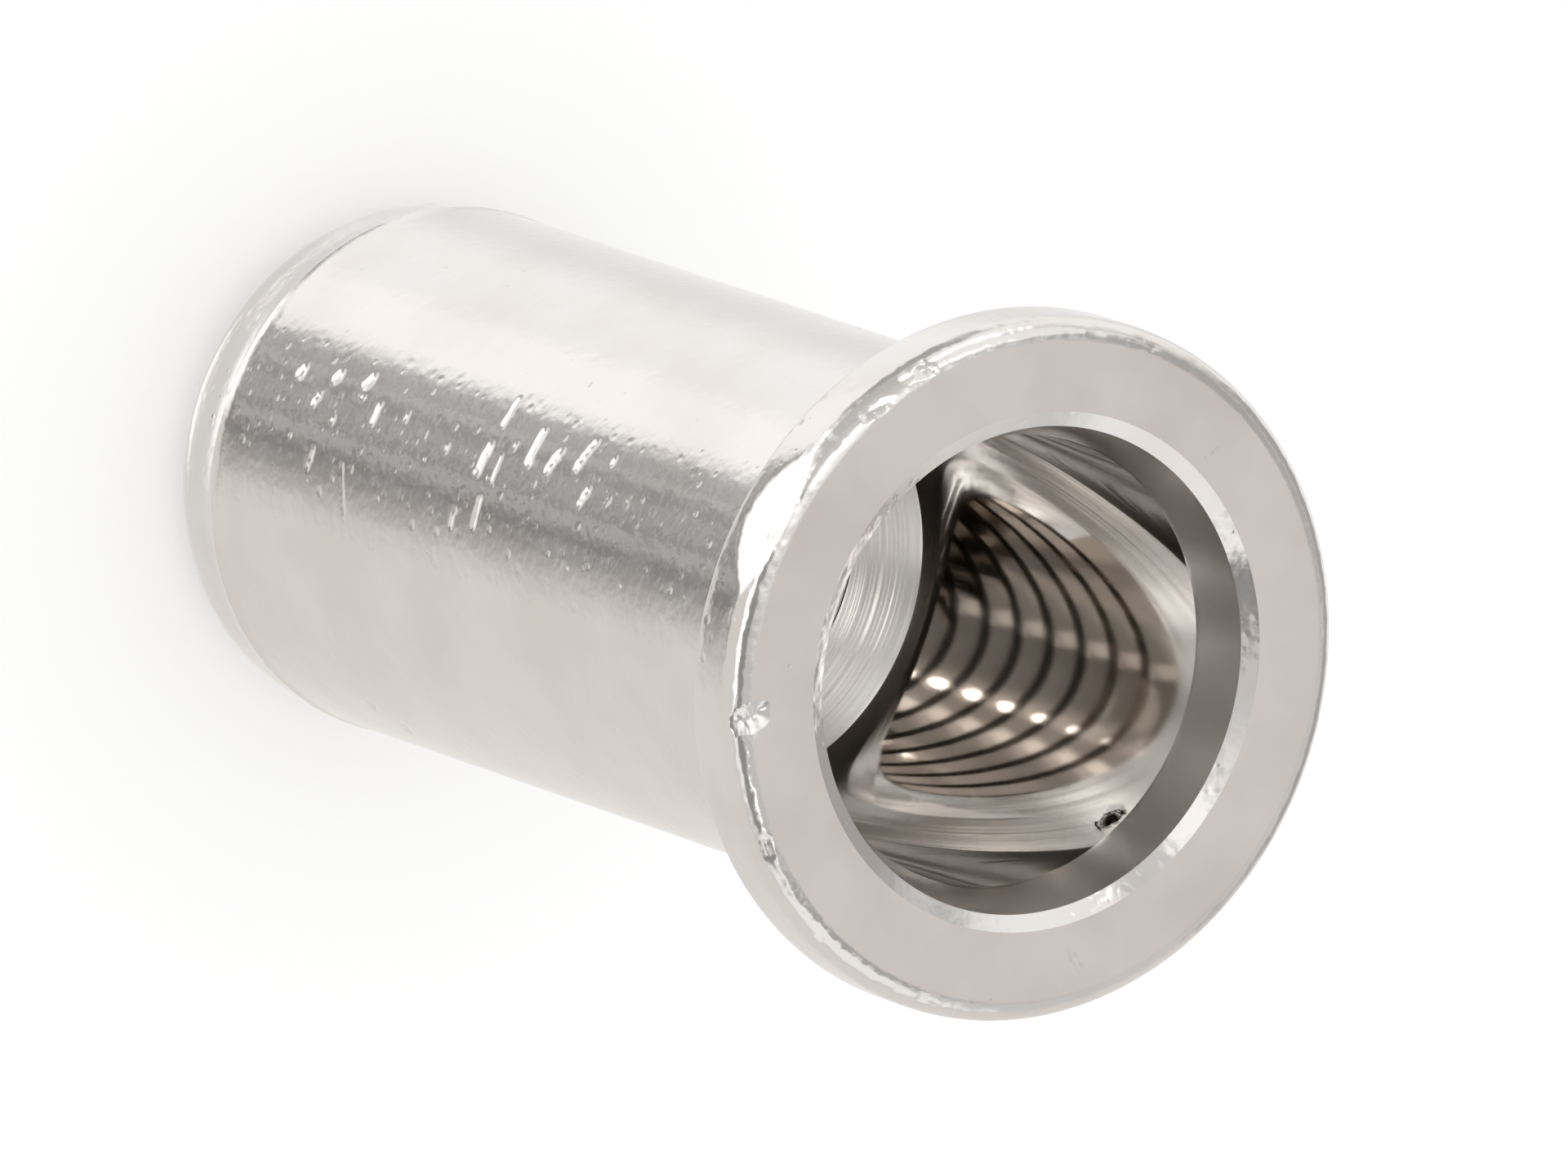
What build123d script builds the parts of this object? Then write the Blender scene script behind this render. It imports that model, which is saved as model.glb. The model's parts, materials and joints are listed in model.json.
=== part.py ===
from build123d import *
from math import radians, tan
import os

# Rivet nut for an M6 screw: one turned steel piece, zinc plated.
#
# A flat round head sits on a smooth round shank. Under the head the shank is a thin
# sleeve, which folds outwards when the nut is set. Below the sleeve the wall is thick
# and holds the thread. The bore is open at both ends.
#
# Millimetres. +Z runs up the axis from the tail to the head, and the origin is the
# centre of the tail's end face. The thread is left as a plain hole at its crests.

# Shank and tail
total_length = 20.5
shank_radius = 4.5
tail_taper_length = 1.80
tail_taper_angle = 5.0
tail_corner_radius = 1.00

# Head
head_radius = 5.92
head_thickness = 1.27
face_edge_radius = 0.40
seat_edge_radius = 0.10
head_root_radius = 0.25

# Bore of the sleeve, from the mouth down
mouth_bevel_radius = 4.37
mouth_bevel_depth = 0.15
mouth_flare_radius = 4.10
mouth_flare_length = 0.90
sleeve_bore_radius = 3.80
sleeve_bore_depth = 9.50

# Threaded hole in the thick wall
thread_crest_radius = 2.50
shoulder_half_angle = 45.0
tail_countersink_radius = 3.05
tail_countersink_half_angle = 45.0


def drop(radial_step, half_angle):
    """Height over which a cone of this half angle takes up a step in radius."""
    return radial_step / tan(radians(half_angle))


seat_z = total_length - head_thickness
taper_step = tail_taper_length * tan(radians(tail_taper_angle))
tail_radius = shank_radius - taper_step

flare_top_z = total_length - mouth_bevel_depth
flare_end_z = flare_top_z - mouth_flare_length
shoulder_z = total_length - sleeve_bore_depth
thread_top_z = shoulder_z - drop(sleeve_bore_radius - thread_crest_radius, shoulder_half_angle)
thread_end_z = drop(tail_countersink_radius - thread_crest_radius, tail_countersink_half_angle)

with BuildPart() as rivet_nut:
    # The outside is turned: tail taper, shank and head in one half section.
    with BuildSketch(Plane.XZ):
        with BuildLine():
            Polyline(
                (0, 0),
                (tail_radius, 0),
                (shank_radius, tail_taper_length),
                (shank_radius, seat_z),
                (head_radius, seat_z),
                (head_radius, total_length),
                (0, total_length),
                close=True,
            )
        make_face()
    revolve(axis=Axis.Z)

    # The rounds: face to rim, rim to seat, the root under the head, and the tail.
    rings = rivet_nut.edges().filter_by(GeomType.CIRCLE)
    face_edge = rings.filter_by_position(Axis.Z, total_length, total_length)
    seat_rings = rings.filter_by_position(Axis.Z, seat_z, seat_z).sort_by(SortBy.RADIUS)
    tail_edge = rings.filter_by_position(Axis.Z, 0, 0)
    fillet(face_edge, face_edge_radius)
    fillet(seat_rings[-1], seat_edge_radius)
    fillet(seat_rings[0], head_root_radius)
    fillet(tail_edge, tail_corner_radius)

    # The bore is cut from the mouth: bevel, short flare, sleeve, shoulder and the
    # hole for the thread, which opens through a countersink at the tail.
    with BuildSketch(Plane.XZ):
        with BuildLine():
            Polyline(
                (0, total_length),
                (mouth_bevel_radius, total_length),
                (mouth_flare_radius, flare_top_z),
                (sleeve_bore_radius, flare_end_z),
                (sleeve_bore_radius, shoulder_z),
                (thread_crest_radius, thread_top_z),
                (thread_crest_radius, thread_end_z),
                (tail_countersink_radius, 0),
                (0, 0),
                close=True,
            )
        make_face()
    revolve(axis=Axis.Z, mode=Mode.SUBTRACT)

rivet_nut.part.label = "rivet_nut"

os.makedirs("parts", exist_ok=True)
export_step(rivet_nut.part, "parts/rivet_nut.step")

sleeve_wall = shank_radius - sleeve_bore_radius
thread_length = thread_top_z - thread_end_z
print(f"sleeve wall {sleeve_wall:.2f}, plain thread wall {thread_length:.3f} long from z {thread_end_z:.3f}")
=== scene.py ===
# %% [markdown]
# # A rivet nut, turned from steel and zinc plated
#
# The nut stands on its tail with its mouth up. One piece is modelled here: the whole
# nut, with the real screw thread that the CAD part leaves out, the small marks of
# handling, and a bright plated skin. The CAD part stays in the file as the frame.

# %% Load the frame
import json
import math

import bpy
from mathutils import Matrix, Vector

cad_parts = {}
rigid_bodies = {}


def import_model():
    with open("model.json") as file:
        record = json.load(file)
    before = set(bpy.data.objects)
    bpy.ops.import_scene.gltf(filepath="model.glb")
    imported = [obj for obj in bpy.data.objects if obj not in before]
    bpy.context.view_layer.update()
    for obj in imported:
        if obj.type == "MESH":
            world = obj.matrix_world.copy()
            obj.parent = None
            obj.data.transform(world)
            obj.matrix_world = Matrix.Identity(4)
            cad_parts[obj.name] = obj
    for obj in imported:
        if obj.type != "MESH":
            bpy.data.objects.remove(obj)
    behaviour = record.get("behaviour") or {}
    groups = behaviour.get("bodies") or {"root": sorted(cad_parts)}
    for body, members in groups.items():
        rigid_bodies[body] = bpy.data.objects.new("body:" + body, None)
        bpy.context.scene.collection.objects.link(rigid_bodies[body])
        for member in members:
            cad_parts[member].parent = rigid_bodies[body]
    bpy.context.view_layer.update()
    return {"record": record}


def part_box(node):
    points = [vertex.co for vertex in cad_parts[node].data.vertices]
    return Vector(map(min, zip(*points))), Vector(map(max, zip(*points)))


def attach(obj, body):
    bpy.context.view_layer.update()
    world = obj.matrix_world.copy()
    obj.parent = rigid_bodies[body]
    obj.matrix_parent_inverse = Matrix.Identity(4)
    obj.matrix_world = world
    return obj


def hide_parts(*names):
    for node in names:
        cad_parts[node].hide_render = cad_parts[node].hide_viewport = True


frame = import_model()
scene = bpy.context.scene
scene.view_settings.view_transform = "Standard"

# %% [markdown]
# ## Sizes
#
# Blender works in metres here, and a nut is easier to think about in millimetres, so
# every size is written in millimetres times `MM`. The big sizes are read from the
# frame's record, and only the small ones are written down.

# %% Sizes
MM = 0.001
mounts = {mount["name"]: mount for mount in frame["record"]["mounts"]}


def mount_size(name, size="r_mm"):
    """A size of one of the record's mounts, in metres."""
    return mounts[name]["dims"][size] * MM


nut_low, nut_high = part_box("rivet_nut")
TOP = nut_high.z
HEAD_R = nut_high.x
SHANK_R = mount_size("shank")
SLEEVE_R = mount_size("sleeve_bore")
CREST_R = mount_size("thread")
SEAT_Z = mounts["seat"]["pos_m"][2]
THREAD_MIDDLE = mounts["thread"]["pos_m"][2]
THREAD_LOW = THREAD_MIDDLE - mount_size("thread", "length_mm") / 2
THREAD_HIGH = THREAD_MIDDLE + mount_size("thread", "length_mm") / 2
SHOULDER_Z = THREAD_HIGH + (SLEEVE_R - CREST_R)
print("length", round(TOP / MM, 2), "head", round(HEAD_R / MM, 2), "shank", SHANK_R / MM)

# %% [markdown]
# ## Camera
#
# A long lens from two thirds of a metre away keeps the sides of the shank almost
# parallel. The camera looks down at the mouth from the nut's -X side, and it is rolled
# until the nut seems to lie down with its mouth to the lower right. The camera's
# axes are built from three facts: how far the bore's axis leans from the line of
# sight, how that axis runs across the picture, and how far to the right of the
# picture's middle, and below it, the middle of the mouth is.

# %% Camera
PICTURE_W, PICTURE_H = 1920, 1436
SENSOR = 36.0
LENS = 940.0
DISTANCE = 0.675
AXIS_LEAN = math.radians(34.28)
AXIS_RUN = math.radians(18.61)
MOUTH_RIGHT = 310
MOUTH_DOWN = 105

focal = LENS / SENSOR * PICTURE_W
axis = Vector(
    (
        math.sin(AXIS_LEAN) * math.cos(AXIS_RUN),
        math.sin(AXIS_LEAN) * math.sin(AXIS_RUN),
        -math.cos(AXIS_LEAN),
    )
)
far_side = Vector(
    (
        math.cos(AXIS_LEAN) * math.cos(AXIS_RUN),
        math.cos(AXIS_LEAN) * math.sin(AXIS_RUN),
        math.sin(AXIS_LEAN),
    )
)
mouth = Vector((MOUTH_RIGHT, MOUTH_DOWN, focal)) * (DISTANCE / focal)
nut_axes = Matrix((far_side, axis.cross(far_side), axis)).transposed()
flip = Matrix.Diagonal((1, -1, -1))
turn = (flip @ nut_axes).transposed()
camera_data = bpy.data.cameras.new("camera")
camera = bpy.data.objects.new("camera", camera_data)
scene.collection.objects.link(camera)
stands_at = Vector((0, 0, TOP)) - turn @ (flip @ mouth)
camera.matrix_world = Matrix.Translation(stands_at) @ turn.to_4x4()
camera_data.sensor_width = SENSOR
camera_data.lens = LENS
camera_data.clip_start = 0.01
camera_data.clip_end = 5.0
scene.camera = camera
print("camera at", [round(c, 3) for c in camera.location])

# %% [markdown]
# ## Helpers for modelling by hand
#
# An operator acts on what is selected, so each step first selects points, edges or
# faces by their place. These helpers do what a click and a box select do.


# %% Selecting
def fresh_selection():
    """Leaves nothing selected in the scene."""
    if bpy.context.object and bpy.context.object.mode != "OBJECT":
        bpy.ops.object.mode_set(mode="OBJECT")
    bpy.ops.object.select_all(action="DESELECT")


def choose(piece, kind, wanted):
    """Selects the piece's points, edges or faces for which wanted(middle) holds, in edit mode."""
    if bpy.context.object != piece:
        fresh_selection()
        piece.select_set(True)
        bpy.context.view_layer.objects.active = piece
    modes = (kind == "VERT", kind == "EDGE", kind == "FACE")
    bpy.context.tool_settings.mesh_select_mode = modes
    bpy.ops.object.mode_set(mode="EDIT")
    bpy.ops.mesh.select_all(action="DESELECT")
    bpy.ops.object.mode_set(mode="OBJECT")
    mesh = piece.data
    if kind == "VERT":
        for point in mesh.vertices:
            point.select = wanted(point.co)
    elif kind == "EDGE":
        for edge in mesh.edges:
            ends = [mesh.vertices[i].co for i in edge.vertices]
            edge.select = wanted((ends[0] + ends[1]) / 2)
    else:
        for face in mesh.polygons:
            face.select = wanted(face.center)
    bpy.ops.object.mode_set(mode="EDIT")


def at(r, z, slack=0.002 * MM):
    """A test for a point of the half section at radius r and height z."""
    return lambda co: abs(co.x - r) < slack and abs(co.z - z) < slack


def draw_section(name, corners):
    """A closed outline in the XZ plane, drawn corner by corner from one point."""
    fresh_selection()
    bpy.ops.mesh.primitive_plane_add(size=MM, location=(0, 0, 0))
    piece = bpy.context.object
    piece.name = piece.data.name = name
    bpy.ops.object.mode_set(mode="EDIT")
    bpy.ops.mesh.select_all(action="SELECT")
    bpy.ops.mesh.merge(type="CENTER")
    bpy.ops.transform.translate(value=(corners[0][0], 0, corners[0][1]))
    for (r0, z0), (r1, z1) in zip(corners, corners[1:]):
        step = {"value": (r1 - r0, 0, z1 - z0)}
        bpy.ops.mesh.extrude_vertices_move(TRANSFORM_OT_translate=step)
    first, last = at(*corners[0]), at(*corners[-1])
    choose(piece, "VERT", lambda co: first(co) or last(co))
    bpy.ops.mesh.edge_face_add()
    return piece


def round_corner(piece, corner, size, steps):
    """Rounds one corner of a drawn outline, as far as size along each side."""
    choose(piece, "VERT", at(*corner))
    bpy.ops.mesh.bevel(
        offset=size, offset_type="OFFSET", segments=steps, profile=0.5, affect="VERTICES"
    )


def divide_side(piece, start, end, cuts):
    """Cuts one straight side of a drawn outline into equal lengths."""
    a, b = Vector((start[0], 0, start[1])), Vector((end[0], 0, end[1]))
    along = (b - a).normalized()

    def within_side(co):
        t = (co - a).dot(along)
        return 0 < t < (b - a).length and (co - a - along * t).length < 0.0005 * MM

    choose(piece, "EDGE", within_side)
    bpy.ops.mesh.subdivide(number_cuts=cuts)


# %% [markdown]
# ## The turned body
#
# The real nut is cold formed and turned, so every section through its axis is the
# same. A cylinder with loop cuts would do for the shank, but not for the rounds and
# the stepped bore. So the half section is drawn as a closed outline, its corners are
# rounded while it is still flat, and then it is spun once round the axis, as a lathe
# would. The long sides are divided, so that marks can be pressed in later.

# %% Half section
TAIL_COUNTERSINK_R = CREST_R + THREAD_LOW
TAPER_Z = 1.80 * MM
TAPER_TILT = math.radians(5.0)
TAIL_R = SHANK_R - TAPER_Z * math.tan(TAPER_TILT)
BEVEL_R = 4.37 * MM
FLARE_R = 4.10 * MM
FLARE_TOP = TOP - 0.15 * MM
FLARE_END = TOP - 1.05 * MM

tail_inner = (TAIL_COUNTERSINK_R, 0)
tail_corner = (TAIL_R, 0)
taper_edge = (SHANK_R, TAPER_Z)
head_root = (SHANK_R, SEAT_Z)
seat_edge = (HEAD_R, SEAT_Z)
face_edge = (HEAD_R, TOP)
bevel_edge = (BEVEL_R, TOP)
flare_edge = (FLARE_R, FLARE_TOP)
sleeve_edge = (SLEEVE_R, FLARE_END)
shoulder_edge = (SLEEVE_R, SHOULDER_Z)
hole_top = (CREST_R, THREAD_HIGH)
hole_end = (CREST_R, THREAD_LOW)

section = [
    tail_inner,
    tail_corner,
    taper_edge,
    head_root,
    seat_edge,
    face_edge,
    bevel_edge,
    flare_edge,
    sleeve_edge,
    shoulder_edge,
    hole_top,
    hole_end,
]
nut = draw_section("plated_nut", section)
print("corners drawn:", len(nut.data.vertices))

# %% Round the corners
FACE_ROUND = 0.40 * MM
SEAT_ROUND = 0.10 * MM
ROOT_ROUND = 0.25 * MM
TAIL_ROUND = 0.916 * MM
RIDGE = 0.13 * MM

# Each row: a corner, its round, and how many steps the round has.
ROUNDS = [
    (tail_corner, TAIL_ROUND, 9),
    (taper_edge, RIDGE, 2),
    (head_root, ROOT_ROUND, 8),
    (seat_edge, SEAT_ROUND, 6),
    (face_edge, FACE_ROUND, 9),
]
for corner, size, steps in ROUNDS:
    round_corner(nut, corner, size, steps)
print("outline points:", len(nut.data.vertices))

# %% Divide the long sides
# Each row: start and end of a side, and how many cuts it gets.
SIDE_CUTS = [
    (taper_edge, head_root, 119),
    (shoulder_edge, sleeve_edge, 22),
    (tail_corner, taper_edge, 2),
    (shoulder_edge, hole_top, 5),
    (sleeve_edge, flare_edge, 3),
    (seat_edge, face_edge, 2),
    (face_edge, bevel_edge, 2),
]
for start, end, cuts in SIDE_CUTS:
    divide_side(nut, start, end, cuts)
print("outline points:", len(nut.data.vertices))

# %% [markdown]
# Where the tail's taper was turned, the tool left a fine ridge round the shank. It
# is only a few hundredths of a millimetre high, yet it draws a bright line, because
# it tips the mirror-like skin. The middle point of the little bevel is lifted for it.

# %% Ridge at the taper
RIDGE_LIFT = 0.030 * MM
choose(nut, "VERT", at(*taper_edge, slack=0.02 * MM))
bpy.ops.transform.translate(value=(RIDGE_LIFT, 0, 0))
print("ridge lifted by", round(RIDGE_LIFT / MM, 3), "mm")

# %% [markdown]
# The section is now complete, so it is spun once round the axis, in enough steps that
# the outline of the head looks round. Where the last copy meets the first, the
# doubled points are merged, and then all faces are made to point outwards.

# %% Spin the section
AROUND = 192
bpy.ops.mesh.select_all(action="SELECT")
bpy.ops.mesh.spin(steps=AROUND, angle=2 * math.pi, center=(0, 0, 0), axis=(0, 0, 1))
bpy.ops.mesh.select_all(action="SELECT")
bpy.ops.mesh.remove_doubles(threshold=0.0002 * MM)
bpy.ops.mesh.normals_make_consistent(inside=False)
bpy.ops.object.mode_set(mode="OBJECT")
print("turned body:", len(nut.data.polygons), "faces")

# %% [markdown]
# ## The thread
#
# A tap cuts the thread into the plain hole. Here a tap's cutting edge, a blunt V of
# one pitch, is drawn in the same way, and the Screw modifier carries it up a
# right-hand helix. A Boolean then takes the helix out of the body. Because it runs
# past both ends of the hole, the thread fades out over the shoulder and the
# countersink by itself, as it does behind a real tap.

# %% Tap
PITCH = 1.0 * MM
ROOT_R = CREST_R + 0.50 * MM
GROOVE_HALF = 0.345 * MM
ROOT_HALF = 0.040 * MM
TAP_BACK = 0.14 * MM
FLANK = (GROOVE_HALF - ROOT_HALF) / (ROOT_R - CREST_R)
BACK_HALF = GROOVE_HALF + TAP_BACK * FLANK
START_Z = -1.93 * PITCH
TURNS = 14

tap_section = [
    (CREST_R - TAP_BACK, START_Z - BACK_HALF),
    (ROOT_R, START_Z - ROOT_HALF),
    (ROOT_R, START_Z + ROOT_HALF),
    (CREST_R - TAP_BACK, START_Z + BACK_HALF),
]
TAP_ROUND = 0.035 * MM
tap = draw_section("tap", tap_section)
for corner in tap_section[1:3]:
    round_corner(tap, corner, TAP_ROUND, 4)
bpy.ops.object.mode_set(mode="OBJECT")
helix = tap.modifiers.new("helix", "SCREW")
helix.screw_offset = PITCH
helix.iterations = TURNS
helix.steps = helix.render_steps = 96
helix.use_merge_vertices = False
bpy.ops.object.modifier_apply(modifier=helix.name)

bpy.ops.object.mode_set(mode="EDIT")
bpy.ops.mesh.select_all(action="DESELECT")
bpy.ops.mesh.select_non_manifold()
bpy.ops.mesh.fill_holes(sides=0)
bpy.ops.mesh.select_all(action="SELECT")
bpy.ops.mesh.normals_make_consistent(inside=False)
bpy.ops.object.mode_set(mode="OBJECT")
print("tap:", len(tap.data.polygons), "faces")

# %% [markdown]
# The Boolean cuts with the exact solver, because the fast one leaves holes where a
# helix and a cylinder almost touch. The tap has done its work then and is removed.

# %% Cut the thread
fresh_selection()
nut.select_set(True)
bpy.context.view_layer.objects.active = nut
cut = nut.modifiers.new("cut thread", "BOOLEAN")
cut.operation = "DIFFERENCE"
cut.solver = "EXACT"
cut.object = tap
bpy.ops.object.modifier_apply(modifier=cut.name)
bpy.data.objects.remove(tap)
print("threaded body:", len(nut.data.polygons), "faces")

# %% [markdown]
# ## Marks of handling
#
# Rivet nuts are shaken about by the thousand in plating barrels and boxes, so each
# one carries small dents. On skin this bright, a dent two hundredths of a millimetre
# deep shows as a white speck, because its slopes mirror the walls beside the dark
# opening. Each mark is pressed in where the real one has it: the faces round it are
# divided, the points along its line are chosen, and proportional editing pushes them
# inwards with a smooth shoulder. A place is given by its depth below the face and by
# its angle round the nut from the camera's side.


# %% Pressing tools
PRESS_MARGIN = 0.09 * MM
PRESS_CORE = 0.20


def on_side(depth, around, radius=SHANK_R):
    """A point depth (mm) below the face, around (degrees) from the camera's side."""
    turn_to = math.radians(around)
    return Vector((-radius * math.cos(turn_to), radius * math.sin(turn_to), TOP - depth * MM))


def distance_to_line(co, start, end):
    """How far a point is from the line between two places."""
    along = end - start
    if along.length == 0:
        return (co - start).length
    t = max(0.0, min(1.0, (co - start).dot(along) / along.length_squared))
    return (co - start - along * t).length


def press(piece, start, end, half_width, depth, push, cuts=3, curved=0.0):
    """Divides the faces round a line and pushes its points along push, fading outwards."""
    reach = half_width + PRESS_MARGIN
    choose(piece, "FACE", lambda co: distance_to_line(co, start, end) < reach)
    bpy.ops.mesh.subdivide(number_cuts=cuts, smoothness=curved)
    core = half_width * PRESS_CORE
    choose(piece, "VERT", lambda co: distance_to_line(co, start, end) < core)
    bpy.ops.transform.translate(
        value=push.normalized() * depth,
        use_proportional_edit=True,
        proportional_edit_falloff="LINEAR",
        proportional_size=half_width,
    )
    bpy.ops.object.mode_set(mode="OBJECT")


# %% Dents on the shank
# Each row: depth and angle of one end, depth and angle of the other, half width, how deep.
SHANK_DENTS = [
    (16.99, 10.4, 16.97, 11.7, 0.135, 0.030),
    (15.94, 11.7, 15.92, 13.0, 0.130, 0.029),
    (15.05, 12.6, 14.98, 14.4, 0.130, 0.030),
    (16.24, 5.2, 16.22, 7.0, 0.100, 0.022),
    (15.53, 2.6, 15.51, 3.6, 0.090, 0.016),
    (14.97, 8.8, 14.95, 9.6, 0.080, 0.014),
    (14.40, 5.2, 14.41, 9.0, 0.100, 0.018),
    (13.50, 7.8, 13.49, 9.4, 0.090, 0.013),
    (12.98, 3.4, 12.97, 4.2, 0.080, 0.012),
    (12.78, 6.2, 12.77, 7.2, 0.080, 0.012),
    (12.03, 4.8, 12.02, 5.6, 0.090, 0.016),
    (15.87, -8.3, 15.80, -3.5, 0.090, 0.014),
    (14.85, -5.8, 14.56, -15.0, 0.080, 0.011),
    (11.28, -10.3, 11.24, -6.8, 0.090, 0.016),
    (10.58, -8.8, 10.61, -2.9, 0.090, 0.020),
    (10.91, 2.3, 10.85, 8.4, 0.110, 0.025),
    (10.41, 1.3, 10.43, 6.9, 0.080, 0.014),
    (10.79, 13.3, 10.79, 20.3, 0.090, 0.019),
    (10.20, 8.5, 10.15, 11.5, 0.070, 0.010),
    (9.60, 7.6, 9.63, 15.0, 0.110, 0.026),
    (9.00, 7.4, 8.88, 12.2, 0.110, 0.026),
    (8.24, 10.0, 8.10, 16.4, 0.110, 0.024),
    (7.72, 3.0, 7.65, 6.0, 0.100, 0.022),
    (7.36, 13.0, 7.34, 14.2, 0.090, 0.018),
    (6.99, 4.6, 6.98, 5.7, 0.090, 0.015),
    (15.65, -67.0, 15.55, -64.5, 0.100, 0.025),
    (15.15, -73.0, 15.00, -70.5, 0.120, 0.025),
    (15.80, 41.4, 15.76, 43.4, 0.120, 0.006),
    (15.18, 34.6, 15.14, 36.6, 0.100, 0.006),
]
for low, low_turn, high, high_turn, wide, deep in SHANK_DENTS:
    ends = on_side(low, low_turn), on_side(high, high_turn)
    inwards = -(ends[0] + ends[1])
    inwards.z = 0
    press(nut, ends[0], ends[1], wide * MM, deep * MM, inwards, curved=1.0)
print("dents on the shank:", len(SHANK_DENTS))

# %% [markdown]
# The head has been knocked once on its edge, which left a small flat. A flat is made
# by choosing every point that stands outside its plane and scaling those points to
# nothing along the plane's own direction. The nick beside it and the short dents on
# the rounding break up the edge's highlight.

# %% Knock on the head
KNOCK_ROUND = math.radians(10)
KNOCK_TILT = math.radians(13)
KNOCK_DEPTH = 0.93
knock_point = on_side(KNOCK_DEPTH, math.degrees(KNOCK_ROUND), HEAD_R)
knock_side = Vector((-math.cos(KNOCK_ROUND), math.sin(KNOCK_ROUND), 0))
knock_normal = knock_side * math.cos(KNOCK_TILT) + Vector((0, 0, math.sin(KNOCK_TILT)))
knock_across = knock_side.cross(Vector((0, 0, 1)))
knock_axes = Matrix((knock_across, knock_normal.cross(knock_across), knock_normal)).transposed()


def outside_knock(co):
    """How far a point stands outside the plane of the knock."""
    return (co - knock_point).dot(knock_normal)


choose(nut, "FACE", lambda co: outside_knock(co) > -0.10 * MM)
bpy.ops.mesh.subdivide(number_cuts=1)
choose(nut, "VERT", lambda co: outside_knock(co) > 0)
bpy.ops.transform.resize(
    value=(1, 1, 0),
    orient_type="GLOBAL",
    orient_matrix=knock_axes,
    orient_matrix_type="GLOBAL",
    center_override=knock_point,
)
bpy.ops.object.mode_set(mode="OBJECT")
print("flat of the knock at", [round(c / MM, 2) for c in knock_point], "mm")

# %% Nick and dents on the rounding
edge_nick = on_side(0.0, -22.9, 5.46 * MM), on_side(0.05, -24.0, 5.68 * MM)
press(nut, *edge_nick, 0.22 * MM, 0.09 * MM, Vector((0.35, 0.35, -1)), cuts=4)
# The rows are laid out as for the shank.
HEAD_DENTS = [
    (0.07, 33.0, 0.05, 36.0, 0.14, 0.035),
    (0.07, 45.0, 0.05, 47.0, 0.12, 0.030),
    (0.10, 68.0, 0.07, 71.0, 0.10, 0.015),
    (0.05, 88.0, 0.04, 92.0, 0.10, 0.012),
    (0.10, -48.0, 0.06, -45.0, 0.12, 0.030),
    (0.30, -38.0, 0.24, -35.5, 0.10, 0.020),
    (0.08, -66.0, 0.06, -64.0, 0.10, 0.018),
    (0.07, -92.0, 0.05, -89.0, 0.12, 0.018),
]
LOW_END_R = HEAD_R - 0.17 * MM
HIGH_END_R = HEAD_R - 0.22 * MM
for low, low_turn, high, high_turn, wide, deep in HEAD_DENTS:
    ends = on_side(low, low_turn, LOW_END_R), on_side(high, high_turn, HIGH_END_R)
    inwards = -(ends[0] + ends[1])
    inwards.z = -1.5 * HEAD_R
    press(nut, ends[0], ends[1], wide * MM, deep * MM, inwards)
print("dents on the rounding:", len(HEAD_DENTS))

# %% [markdown]
# The flat face has a few short scratches, and something hard has nicked the sleeve
# just below its flare. They are pressed in with the same tool, the scratches straight
# down and the nick outwards into the wall.

# %% Scratches on the face and a nick in the sleeve
# Each row: angle and radius of one end, of the other end, half width, how deep.
FACE_SCRATCHES = [
    (110, 4.75, 113, 5.20, 0.07, 0.010),
    (114, 4.80, 116, 5.10, 0.06, 0.010),
    (-119, 4.70, -122, 5.25, 0.07, 0.012),
    (-30, 4.60, -34, 4.90, 0.06, 0.008),
    (60, 5.00, 66, 5.10, 0.06, 0.008),
]
for first_turn, first_r, last_turn, last_r, wide, deep in FACE_SCRATCHES:
    ends = on_side(0, first_turn, first_r * MM), on_side(0, last_turn, last_r * MM)
    press(nut, ends[0], ends[1], wide * MM, deep * MM, Vector((0, 0, -1)))
sleeve_nick = on_side(1.33, -151, SLEEVE_R), on_side(1.45, -148.5, SLEEVE_R)
press(nut, *sleeve_nick, 0.15 * MM, 0.08 * MM, Vector((1.0, -0.55, 0)), cuts=3)
print("body with marks:", len(nut.data.polygons), "faces")

# %% [markdown]
# The rounds should look smooth and the edges of the bevel and the thread should stay
# crisp. Shading by angle gives both: where two faces meet at more than this angle, the
# edge between them is left sharp.

# %% Smooth shading
SHARP_FROM = math.radians(14)
fresh_selection()
nut.select_set(True)
bpy.context.view_layer.objects.active = nut
bpy.ops.object.shade_smooth_by_angle(angle=SHARP_FROM)
print("sharp edges from", round(math.degrees(SHARP_FROM)), "degrees")

# %% [markdown]
# ## Light
#
# Metal shows what stands round it, so the light is a room more than a lamp. The real
# nut lay in a white tent whose open front was darker than its walls: that opening is
# the dark band along the shank. Here the nut stands upright, and the tent is painted
# on the world by direction. `height` is the angle above the floor in degrees and
# `round_about` the angle round the nut, which is 0 on the camera's side. Mirrored rays
# see the tent through the floor, while the camera sees a plain white room. These
# helpers write one node each, so that the painting below reads as plain steps.


# %% Node helpers
def add_node(tree, kind, **settings):
    """Adds a node and sets its properties."""
    node = tree.nodes.new(kind)
    for name, value in settings.items():
        setattr(node, name, value)
    return node


def plug(tree, value, socket):
    """Links an output to a socket, or writes a plain value into it."""
    if isinstance(value, bpy.types.NodeSocket):
        tree.links.new(value, socket)
    else:
        socket.default_value = value


def calc(tree, operation, a, b=0.0, c=0.0):
    """One Math node on up to three values."""
    node = add_node(tree, "ShaderNodeMath", operation=operation)
    for value, socket in zip((a, b, c), node.inputs):
        plug(tree, value, socket)
    return node.outputs[0]


def ramp_up(tree, value, start, end):
    """0 below start, 1 above end, and smooth between them."""
    node = add_node(tree, "ShaderNodeMapRange", interpolation_type="SMOOTHSTEP")
    plug(tree, value, node.inputs["Value"])
    plug(tree, start, node.inputs["From Min"])
    plug(tree, end, node.inputs["From Max"])
    return node.outputs["Result"]


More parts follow.
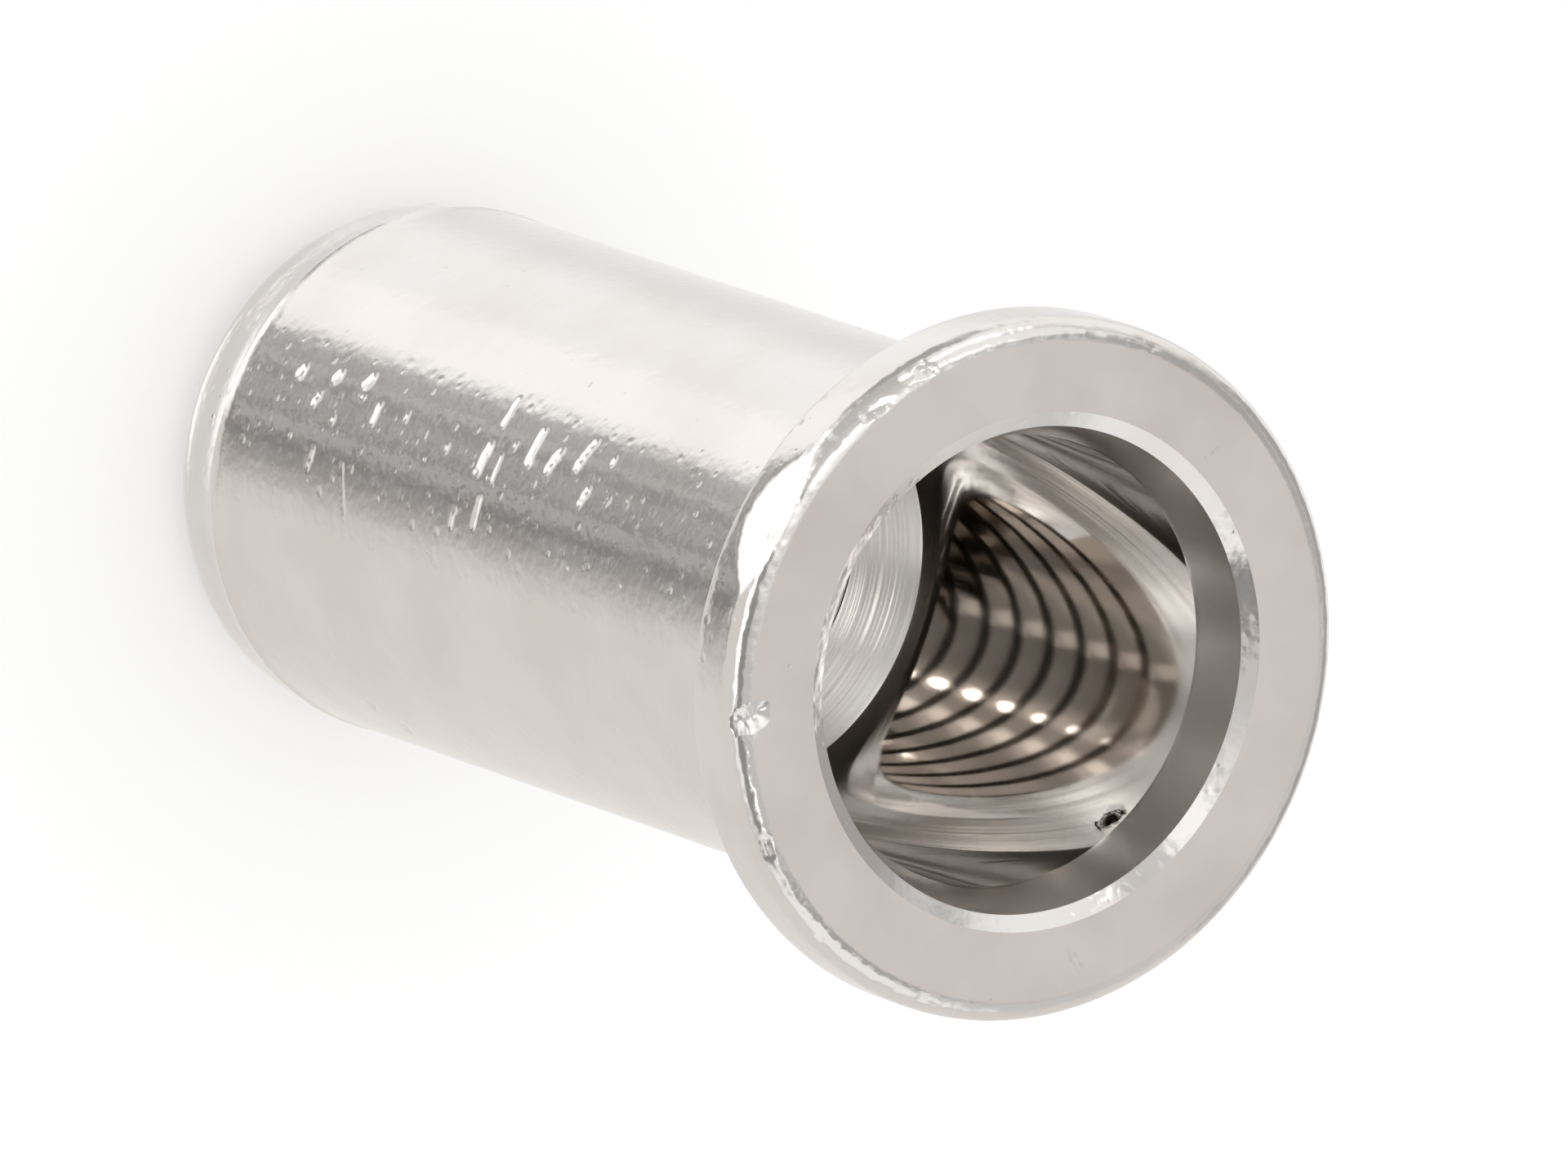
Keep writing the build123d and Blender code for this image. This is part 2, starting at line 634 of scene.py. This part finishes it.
def window(tree, value, start, end, soft_start, soft_end):
    """1 between start and end, with a soft edge at each."""
    rise = ramp_up(tree, value, start - soft_start, start + soft_start)
    fall = ramp_up(tree, value, end - soft_end, end + soft_end)
    return calc(tree, "MULTIPLY", rise, calc(tree, "SUBTRACT", 1.0, fall))


def blend_colour(tree, mask, first, second):
    """first where mask is 0 and second where it is 1."""
    node = add_node(tree, "ShaderNodeMix", data_type="RGBA")
    plug(tree, mask, node.inputs["Factor"])
    plug(tree, first, node.inputs["A"])
    plug(tree, second, node.inputs["B"])
    return node.outputs["Result"]


def grey(level, warm=0.0):
    """A grey of this level, a little warmer or cooler."""
    return (level * (1 + warm), level, level * (1 - warm), 1.0)


# %% [markdown]
# The tent itself is painted first: walls that are brighter on the +Y side, a ceiling,
# and the darker open front. Something stood in front of it, so a soft noise lightens
# the opening in places, which gives the dark band on the shank its uneven tone.

# %% The tent
TENT_WALL = grey(0.845, 0.03)
TENT_BRIGHT_WALL = grey(1.14)
TENT_UNDER = grey(0.85)
TENT_ABOVE = grey(0.74)
TENT_TOP = grey(0.66)
TENT_BRIGHT_TOP = grey(1.35)
TENT_FRONT_LOW = grey(0.28)
TENT_FRONT_HIGH = grey(0.46)
THINGS_SCALE = 16.0
THINGS_LIFT = 0.35
THINGS_COLOUR = grey(0.95)

world = bpy.data.worlds.new("tent")
scene.world = world
world.use_nodes = True
tent = world.node_tree
tent.nodes.clear()
ray = add_node(tent, "ShaderNodeTexCoord").outputs["Generated"]
split = add_node(tent, "ShaderNodeSeparateXYZ")
tent.links.new(ray, split.inputs[0])
ray_x, ray_y, ray_z = split.outputs
height = calc(tent, "DEGREES", calc(tent, "ARCSINE", ray_z))
toward_camera = calc(tent, "MULTIPLY", ray_x, -1.0)
round_about = calc(tent, "DEGREES", calc(tent, "ARCTAN2", ray_y, toward_camera))

walls = blend_colour(tent, ramp_up(tent, ray_y, -0.10, 0.30), TENT_WALL, TENT_BRIGHT_WALL)
walls = blend_colour(tent, ramp_up(tent, height, -60.0, -66.0), walls, TENT_UNDER)
room = blend_colour(tent, ramp_up(tent, height, 0.0, 25.0), walls, TENT_ABOVE)
top = blend_colour(tent, ramp_up(tent, ray_y, -0.20, 0.30), TENT_TOP, TENT_BRIGHT_TOP)
room = blend_colour(tent, ramp_up(tent, height, 60.0, 72.0), room, top)

along_front = ramp_up(tent, round_about, -15.0, 42.0)
front_shade = blend_colour(tent, along_front, TENT_FRONT_LOW, TENT_FRONT_HIGH)
across_front = window(tent, round_about, -25.0, 39.0, 18.0, 6.0)
up_front = window(tent, height, -61.0, -44.0, 2.0, 4.0)
front = calc(tent, "MULTIPLY", across_front, up_front)
things = add_node(tent, "ShaderNodeTexNoise")
tent.links.new(ray, things.inputs["Vector"])
things.inputs["Scale"].default_value = THINGS_SCALE
shapes = ramp_up(tent, things.outputs[0], 0.35, 0.65)
lighter = blend_colour(tent, THINGS_LIFT, front_shade, THINGS_COLOUR)
front_shade = blend_colour(tent, shapes, front_shade, lighter)
room = blend_colour(tent, front, room, front_shade)
print("tent painted with", len(tent.nodes), "nodes")

# %% [markdown]
# The head and the bore mirror much smaller parts of the tent than the shank does. Each
# round, the bevel and each stretch of the bore looks at a few degrees of it, so light
# and dark panels are painted over the room, a later one over an earlier one. The low
# rows are for the rounding of the head and for light that comes up through the tail.
# The middle rows are for the bevel and the streaks on the sleeve, and the high rows for
# the turns of the thread. The last is the wall that the flat face mirrors.

# %% Panels
# Each row: middle and half width round about, soft edge, lowest, highest, soft edge, colour.
PANELS = [
    (20, 22, 6, -41, -16, 4, grey(1.60)),
    (57, 14, 7, -64, -38, 5, grey(1.24, 0.01)),
    (150, 32, 18, -70, -30, 8, grey(0.93)),
    (0, 60, 15, -95, -74, 6, grey(1.35)),
    (70, 20, 10, -42, -8, 4, grey(0.50)),
    (53, 16, 6, -15, 34, 4, grey(0.66)),
    (165, 27, 10, -12, 20, 5, grey(0.48)),
    (82, 13, 5, 10, 30, 4, grey(2.00)),
    (-20, 42, 10, 20, 34, 3, grey(1.10)),
    (0, 30, 8, 20, 33, 3, grey(2.70)),
    (-108, 30, 8, 18, 52, 4, grey(1.08)),
    (102, 24, 8, 22, 50, 4, grey(1.10)),
    (150, 20, 7, 24, 54, 4, grey(0.52)),
    (-75, 97, 8, 50, 62, 3, grey(0.46)),
    (-40, 48, 10, 36, 60, 4, grey(0.34)),
    (-92, 11, 5, 48, 57, 2, grey(1.15)),
    (-92, 10, 4, 59, 66, 2, grey(2.20, -0.02)),
    (104, 17, 5, 49, 58, 3, grey(1.25)),
    (100, 9, 4, 50, 57, 2, grey(2.30)),
    (48, 14, 6, 57, 82, 4, grey(1.25)),
    (66, 10, 4, 65, 76, 3, grey(2.40)),
    (180, 20, 8, 48, 66, 3, (0.810, 0.771, 0.756, 1.0)),
]
for middle, half, soft, low, high, soft_height, colour in PANELS:
    off = calc(tent, "WRAP", calc(tent, "SUBTRACT", round_about, middle), -180.0, 180.0)
    beyond = ramp_up(tent, calc(tent, "ABSOLUTE", off), half - soft, half + soft)
    across = calc(tent, "SUBTRACT", 1.0, beyond)
    upwards = window(tent, height, low, high, soft_height, soft_height)
    panel = calc(tent, "MULTIPLY", across, upwards)
    room = blend_colour(tent, panel, room, colour)
print("panels:", len(PANELS))

# %% [markdown]
# Only mirrored rays get the painted room. All other rays see plain white, so the
# background is white and the floor is lit evenly.

# %% Who sees the tent
paths = add_node(tent, "ShaderNodeLightPath")
seen = blend_colour(tent, paths.outputs["Is Glossy Ray"], (1.0, 1.0, 1.0, 1.0), room)
light = add_node(tent, "ShaderNodeBackground")
tent.links.new(seen, light.inputs["Color"])
tent.links.new(light.outputs[0], add_node(tent, "ShaderNodeOutputWorld").inputs["Surface"])

# %% [markdown]
# One small round lamp close above the mouth makes the row of white glints in the bore,
# one on each turn of the thread. A far lamp would set them all in one direction. A
# close one is seen by each turn from a slightly different side, and that gives the row
# its spacing. It lights mirrored paths only, so it adds no shadow on the floor.

# %% Lamp for the bore
LAMP_SIZE = 3.4 * MM
LAMP_AWAY = 20 * MM
LAMP_HEIGHT = math.radians(54.7)
LAMP_ROUND = math.radians(50)
LAMP_POWER = 0.00036
lamp_data = bpy.data.lights.new("bore lamp", "AREA")
lamp_data.shape = "DISK"
lamp_data.size = LAMP_SIZE
lamp_data.energy = LAMP_POWER
lamp = bpy.data.objects.new("bore lamp", lamp_data)
scene.collection.objects.link(lamp)
lamp_side = Vector((-math.cos(LAMP_ROUND), math.sin(LAMP_ROUND), 0)) * math.cos(LAMP_HEIGHT)
lamp_way = lamp_side + Vector((0, 0, math.sin(LAMP_HEIGHT)))
lamp.location = Vector((0, 0, TOP)) + lamp_way * LAMP_AWAY
lamp.rotation_euler = (-lamp_way).to_track_quat("-Z", "Y").to_euler()
lamp.visible_camera = False
lamp.visible_diffuse = False
print("lamp at", [round(c / MM, 1) for c in lamp.location], "mm")

# %% [markdown]
# The floor is white paper. Mirrored rays pass through it to the tent, except right
# under the nut: there the paper lies in the nut's own shadow, and the bore looks
# straight down on it. A small disc of shaded paper stands for that part. A little
# glow, for the camera alone, brings the paper up to white and keeps the nut's shadow.

# %% Floor
PAPER_COLOUR = (0.93, 0.93, 0.93, 1)
SHADED_COLOUR = (0.30, 0.28, 0.26, 1)
PAPER_LIFT = 0.16
UNDER_NUT_R = 0.8 * SHANK_R

fresh_selection()
bpy.ops.mesh.primitive_plane_add(size=2.0, location=(0, 0, 0))
floor = bpy.context.object
floor.name = "floor"
floor.visible_glossy = False
bpy.ops.mesh.primitive_circle_add(
    vertices=64, radius=UNDER_NUT_R, fill_type="NGON", location=(0, 0, -0.01 * MM)
)
under = bpy.context.object
under.name = "floor_under_nut"
print("disc under the nut:", round(UNDER_NUT_R / MM, 2), "mm in radius")

# %% Paper
paper = bpy.data.materials.new("white paper")
paper.use_nodes = True
sheet = paper.node_tree
surface = sheet.nodes["Principled BSDF"]
surface.inputs["Base Color"].default_value = PAPER_COLOUR
surface.inputs["Roughness"].default_value = 0.9
surface.inputs["Specular IOR Level"].default_value = 0.0
surface.inputs["Emission Color"].default_value = (1, 1, 1, 1)
from_camera = add_node(sheet, "ShaderNodeLightPath").outputs["Is Camera Ray"]
glow = calc(sheet, "MULTIPLY", from_camera, PAPER_LIFT)
sheet.links.new(glow, surface.inputs["Emission Strength"])
floor.data.materials.append(paper)
shaded = paper.copy()
shaded.name = "shaded paper"
surface = shaded.node_tree.nodes["Principled BSDF"]
surface.inputs["Base Color"].default_value = SHADED_COLOUR
under.data.materials.append(shaded)
print("papers:", paper.name, "and", shaded.name)

# %% [markdown]
# ## Bright zinc plate
#
# Zinc plate on cold-formed steel is bright but not flat. Close up it has an orange
# peel a quarter of a millimetre across and a few thousandths high, with tiny pits
# among it, and the turned faces keep fine tool marks. All of that is in the skin's
# height, so it is bump: it moves the mirrored tent and leaves the colour alone. Each
# effect is a node group that puts out one height, in thousandths of a millimetre. The
# groups are built once here, and each finish below places them with its own values.


# %% Tools for node groups
def start_group(name, inputs, outputs):
    """A node group with named sockets. Each input has its starting value."""
    group = bpy.data.node_groups.new(name, "ShaderNodeTree")
    for label, value in inputs.items():
        socket = group.interface.new_socket(
            name=label, in_out="INPUT", socket_type="NodeSocketFloat"
        )
        socket.default_value = value
    for label in outputs:
        kind = "NodeSocketVector" if label == "Place" else "NodeSocketFloat"
        group.interface.new_socket(name=label, in_out="OUTPUT", socket_type=kind)
    given = group.nodes.new("NodeGroupInput").outputs
    return group, given, group.nodes.new("NodeGroupOutput").inputs


def use_group(tree, group, **values):
    """Places a group and sets or links its inputs."""
    node = add_node(tree, "ShaderNodeGroup", node_tree=group)
    for label, value in values.items():
        plug(tree, value, node.inputs[label])
    return node.outputs


def noise(tree, place, scale, detail=2.0, dims="3D"):
    """A Noise Texture, from 0 to 1."""
    node = add_node(tree, "ShaderNodeTexNoise", noise_dimensions=dims)
    plug(tree, place, node.inputs["W" if dims == "1D" else "Vector"])
    plug(tree, scale, node.inputs["Scale"])
    node.inputs["Detail"].default_value = detail
    return node.outputs[0]


# %% [markdown]
# The first group says where a point is, in millimetres: its place, its distance from
# the axis and its height. The others are written in millimetres by means of it.

# %% Millimetres
where, _, out = start_group("millimetres", {}, ["Place", "Radius", "Height"])
scaled = add_node(where, "ShaderNodeVectorMath", operation="SCALE")
where.links.new(add_node(where, "ShaderNodeTexCoord").outputs["Object"], scaled.inputs[0])
scaled.inputs["Scale"].default_value = 1 / MM
parts = add_node(where, "ShaderNodeSeparateXYZ")
where.links.new(scaled.outputs[0], parts.inputs[0])
squares = [calc(where, "POWER", side, 2) for side in parts.outputs[:2]]
where.links.new(scaled.outputs[0], out["Place"])
where.links.new(calc(where, "SQRT", calc(where, "ADD", *squares)), out["Radius"])
where.links.new(parts.outputs[2], out["Height"])
print("group:", where.name)

# %% [markdown]
# Orange peel is soft hills with a finer grain riding on them. Two noises do it: the
# second has hills a quarter as wide, and its own height.

# %% Orange peel
PEEL_VALUES = {"Size": 0.25, "Depth": 6.0, "Grain": 0.8}
peel, given, out = start_group("orange peel", PEEL_VALUES, ["Height"])
place = use_group(peel, where)["Place"]
hills = noise(peel, place, calc(peel, "DIVIDE", 1.0, given["Size"]), 1.0)
grains = noise(peel, place, calc(peel, "DIVIDE", 4.0, given["Size"]), 2.0)
hills = calc(peel, "MULTIPLY", hills, given["Depth"])
peel.links.new(calc(peel, "MULTIPLY_ADD", grains, given["Grain"], hills), out["Height"])
print("group:", peel.name)

# %% [markdown]
# A pit is a round hollow. A Voronoi pattern gives one place in each of its cells, and a
# chosen share of the cells gets a pit there, each of its own size.

# %% Pits
PIT_VALUES = {"Apart": 0.5, "Share": 0.3, "Size": 0.12, "Depth": 8.0}
pits, given, out = start_group("pits", PIT_VALUES, ["Height"])
place = use_group(pits, where)["Place"]
cells = add_node(pits, "ShaderNodeTexVoronoi")
pits.links.new(place, cells.inputs["Vector"])
pits.links.new(calc(pits, "DIVIDE", 1.0, given["Apart"]), cells.inputs["Scale"])
away = calc(pits, "MULTIPLY", cells.outputs["Distance"], given["Apart"])
pick = add_node(pits, "ShaderNodeSeparateColor")
pits.links.new(cells.outputs["Color"], pick.inputs[0])
chosen = calc(pits, "LESS_THAN", pick.outputs[0], given["Share"])
size = calc(pits, "MULTIPLY", given["Size"], calc(pits, "ADD", pick.outputs[1], 0.4))
hollow = calc(pits, "SUBTRACT", 1.0, ramp_up(pits, away, 0.0, size))
deep = calc(pits, "MULTIPLY", calc(pits, "MULTIPLY", hollow, chosen), given["Depth"])
pits.links.new(calc(pits, "MULTIPLY", deep, -1.0), out["Height"])
print("group:", pits.name)

# %% [markdown]
# A turning tool leaves uneven rings. A noise in one dimension gives them along whatever
# distance is plugged in: the height for a cylinder, the radius for a face.

# %% Tool marks
TOOL_VALUES = {"Across": 0.0, "Pitch": 0.1, "Depth": 1.0}
tooling, given, out = start_group("tool marks", TOOL_VALUES, ["Height"])
rings = noise(tooling, given["Across"], calc(tooling, "DIVIDE", 1.0, given["Pitch"]), 3.0, "1D")
tooling.links.new(calc(tooling, "MULTIPLY", rings, given["Depth"]), out["Height"])
print("group:", tooling.name)

# %% [markdown]
# Four finishes are made from these groups, one for each region of the nut. All are
# plain metals, and differ in colour, in roughness and in the heights of their skin.


# %% Tools for finishes
def zinc_plate(name, colour, roughness):
    """A bright metal with no bump yet: its node tree, its shader and where its points are."""
    material = bpy.data.materials.new(name)
    material.use_nodes = True
    tree = material.node_tree
    shader = tree.nodes["Principled BSDF"]
    shader.inputs["Metallic"].default_value = 1.0
    shader.inputs["Base Color"].default_value = (*colour, 1.0)
    shader.inputs["Roughness"].default_value = roughness
    nut.data.materials.append(material)
    return tree, shader, use_group(tree, where)


def raise_skin(tree, shader, heights):
    """Adds heights, in thousandths of a millimetre, and turns the sum into a normal."""
    total = heights[0]
    for height_output in heights[1:]:
        total = calc(tree, "ADD", total, height_output)
    bump = add_node(tree, "ShaderNodeBump")
    bump.inputs["Strength"].default_value = 1.0
    bump.inputs["Distance"].default_value = 0.001 * MM
    tree.links.new(total, bump.inputs["Height"])
    tree.links.new(bump.outputs[0], shader.inputs["Normal"])


def stain(tree, shader, colour, place, amount):
    """Lets the colour wander a little, as plate does where it was rinsed unevenly."""
    darker = tuple(c * (1 - amount) for c in colour)
    warm = (darker[0], darker[1] * 0.985, darker[2] * 0.97, 1.0)
    cloud = ramp_up(tree, noise(tree, place, 0.45, 3.0), 0.35, 0.70)
    tree.links.new(blend_colour(tree, cloud, (*colour, 1.0), warm), shader.inputs["Base Color"])


# %% [markdown]
# The plated outside has the orange peel, pits of two sizes and faint rings. Its shine
# varies in patches. On the rounding of the head, where the nuts knock together in the
# barrel, it is a little duller and beaten into wider hills.

# %% Plated outside
SKIN_COLOUR = (0.750, 0.722, 0.700)
SKIN_ROUGH = 0.06
PATCH_ROUGH = 0.07
EDGE_ROUGH = 0.07
BEATEN_MIDDLE = 16.0
nut.data.materials.clear()

skin, shader, spot = zinc_plate("zinc plate", SKIN_COLOUR, SKIN_ROUGH)
stain(skin, shader, SKIN_COLOUR, spot["Place"], 0.05)
past_face = ramp_up(skin, spot["Radius"], HEAD_R / MM - 0.45, HEAD_R / MM - 0.35)
near_top = ramp_up(skin, spot["Height"], TOP / MM - 0.50, TOP / MM - 0.36)
on_edge = calc(skin, "MULTIPLY", past_face, near_top)
patches = ramp_up(skin, noise(skin, spot["Place"], 1.3, 2.0), 0.45, 0.80)
rough = calc(skin, "MULTIPLY_ADD", patches, PATCH_ROUGH, SKIN_ROUGH)
rough = calc(skin, "MULTIPLY_ADD", on_edge, EDGE_ROUGH, rough)
skin.links.new(rough, shader.inputs["Roughness"])
beaten = use_group(skin, peel, Size=0.45, Depth=30.0, Grain=3.0)["Height"]
beaten = calc(skin, "SUBTRACT", beaten, BEATEN_MIDDLE)
raise_skin(
    skin,
    shader,
    [
        use_group(skin, peel, Size=0.25, Depth=6.0, Grain=0.8)["Height"],
        use_group(skin, pits, Apart=0.45, Share=0.35, Size=0.10, Depth=7.0)["Height"],
        use_group(skin, pits, Apart=0.27, Share=0.60, Size=0.12, Depth=3.5)["Height"],
        use_group(skin, tooling, Across=spot["Height"], Pitch=0.12, Depth=0.4)["Height"],
        calc(skin, "MULTIPLY", beaten, on_edge),
    ],
)
print("finish:", nut.data.materials[-1].name)

# %% [markdown]
# The face was turned flat, so it has rings round the axis under its plate, close
# together and very low. It is rougher than the shank and mirrors only a soft tone.

# %% Turned face
FACE_COLOUR = (0.750, 0.720, 0.700)
FACE_ROUGH = 0.12
ring, shader, spot = zinc_plate("turned face", FACE_COLOUR, FACE_ROUGH)
stain(ring, shader, FACE_COLOUR, spot["Place"], 0.08)
raise_skin(
    ring,
    shader,
    [
        use_group(ring, peel, Size=0.35, Depth=6.0, Grain=2.0)["Height"],
        use_group(ring, pits, Apart=0.60, Share=0.12, Size=0.09, Depth=6.0)["Height"],
        use_group(ring, tooling, Across=spot["Radius"], Pitch=0.05, Depth=0.5)["Height"],
    ],
)
print("finish:", nut.data.materials[-1].name)

# %% [markdown]
# The sleeve was bored smooth. Its colour is lighter than the plate outside, which paints in
# the light that its walls throw on each other. Where the drill left the shoulder, the skin
# is duller and has deep rings, and its darker colour there is painted shade. The flare at
# the mouth is duller too, and darker in colour, which is painted shade as well. The nick is
# coloured almost black. All three are masks over the same metal, made from the height or
# from the distance to the nick.

# %% Bored sleeve
# The sleeve's colour is lighter than the plate outside: painted light from its own walls.
SLEEVE_COLOUR_PAINTED_LIGHT = (0.870, 0.857, 0.843)
# The shoulder and the flare get darker colours: painted shade.
SHOULDER_PAINTED_SHADE = (0.770, 0.755, 0.740, 1.0)
FLARE_PAINTED_SHADE = (0.680, 0.665, 0.660, 1.0)
# The nick is coloured almost black.
NICK_DARK_COLOUR = (0.035, 0.030, 0.028, 1.0)
SLEEVE_ROUGH = 0.05
SHOULDER_ROUGH = 0.15
FLARE_ROUGH = 0.12
bore, shader, spot = zinc_plate("bored sleeve", SLEEVE_COLOUR_PAINTED_LIGHT, SLEEVE_ROUGH)
stain(bore, shader, SLEEVE_COLOUR_PAINTED_LIGHT, spot["Place"], 0.06)
on_shoulder = window(bore, spot["Height"], THREAD_HIGH / MM, SHOULDER_Z / MM, 0.2, 0.1)
on_flare = ramp_up(bore, spot["Height"], FLARE_END / MM - 0.05, FLARE_END / MM + 0.10)
to_nick = add_node(bore, "ShaderNodeVectorMath", operation="DISTANCE")
bore.links.new(spot["Place"], to_nick.inputs[0])
to_nick.inputs[1].default_value = (sleeve_nick[0] + sleeve_nick[1]) / (2 * MM)
in_nick = ramp_up(bore, to_nick.outputs["Value"], 0.19, 0.11)

# Paints shade on the shoulder and the flare, and makes the nick almost black.
colour = shader.inputs["Base Color"].links[0].from_socket
masks = (on_shoulder, on_flare, in_nick)
for mask, other in zip(masks, (SHOULDER_PAINTED_SHADE, FLARE_PAINTED_SHADE, NICK_DARK_COLOUR)):
    colour = blend_colour(bore, mask, colour, other)
bore.links.new(colour, shader.inputs["Base Color"])
rough = calc(bore, "MULTIPLY_ADD", on_shoulder, SHOULDER_ROUGH, SLEEVE_ROUGH)
rough = calc(bore, "MULTIPLY_ADD", on_flare, FLARE_ROUGH, rough)
bore.links.new(rough, shader.inputs["Roughness"])
deep_rings = use_group(bore, tooling, Across=spot["Height"], Pitch=0.18, Depth=14.0)["Height"]
raise_skin(
    bore,
    shader,
    [
        use_group(bore, peel, Size=0.90, Depth=0.5, Grain=0.0)["Height"],
        use_group(bore, tooling, Across=spot["Height"], Pitch=0.30, Depth=0.10)["Height"],
        calc(bore, "MULTIPLY", deep_rings, on_shoulder),
    ],
)
print("finish:", nut.data.materials[-1].name)

# %% [markdown]
# The thread's metal is given a browner and darker colour than the plate, which is painted
# shade for the deep thread. It stays smooth, because the tap leaves a clean cut, and only
# wavers a little.

# %% Tapped thread
# Painted shade: darker and browner than the plate outside.
THREAD_SHADED_COLOUR = (0.453, 0.397, 0.345)
THREAD_ROUGH = 0.06
thread, shader, spot = zinc_plate("tapped thread", THREAD_SHADED_COLOUR, THREAD_ROUGH)
stain(thread, shader, THREAD_SHADED_COLOUR, spot["Place"], 0.10)
waver = use_group(thread, peel, Size=0.60, Depth=0.6, Grain=0.1)["Height"]
raise_skin(thread, shader, [waver])
print("finish:", nut.data.materials[-1].name)

# %% [markdown]
# The nut stays one closed mesh, so the finishes are given face by face. Everything
# gets the outside's finish first. The face, the bore and the thread are then picked
# by their height and their distance from the axis.


# %% Give each region its finish
def finish_faces(piece, slot, wanted):
    """Gives one material slot to the faces for which wanted(middle) holds."""
    choose(piece, "FACE", wanted)
    piece.active_material_index = slot
    bpy.ops.object.material_slot_assign()
    bpy.ops.object.mode_set(mode="OBJECT")


def radius_of(co):
    """Distance from the axis."""
    return math.hypot(co.x, co.y)


def bore_wall(z):
    """A radius just outside the bore's own wall at this height."""
    return FLARE_R if z > THREAD_HIGH else ROOT_R + 0.1 * MM


FACE_LOW = TOP - 0.03 * MM
FACE_R = HEAD_R - 0.35 * MM
finish_faces(nut, 0, lambda co: True)
finish_faces(nut, 1, lambda co: co.z > FACE_LOW and radius_of(co) < FACE_R)
finish_faces(nut, 2, lambda co: co.z < FLARE_TOP and radius_of(co) < bore_wall(co.z))
finish_faces(nut, 3, lambda co: co.z < THREAD_HIGH and radius_of(co) < bore_wall(co.z))

counts = [sum(face.material_index == slot for face in nut.data.polygons) for slot in range(4)]
print("faces by finish:", counts)

# %% [markdown]
# Light crosses the bore many times between the mirrored walls before it leaves. The
# usual four glossy bounces would leave the thread black, so there are more here.

# %% Bounces
scene.cycles.max_bounces = 20
scene.cycles.glossy_bounces = 16
print("glossy bounces:", scene.cycles.glossy_bounces)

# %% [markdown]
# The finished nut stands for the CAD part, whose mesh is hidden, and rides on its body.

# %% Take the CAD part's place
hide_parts("rivet_nut")
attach(nut, "root")
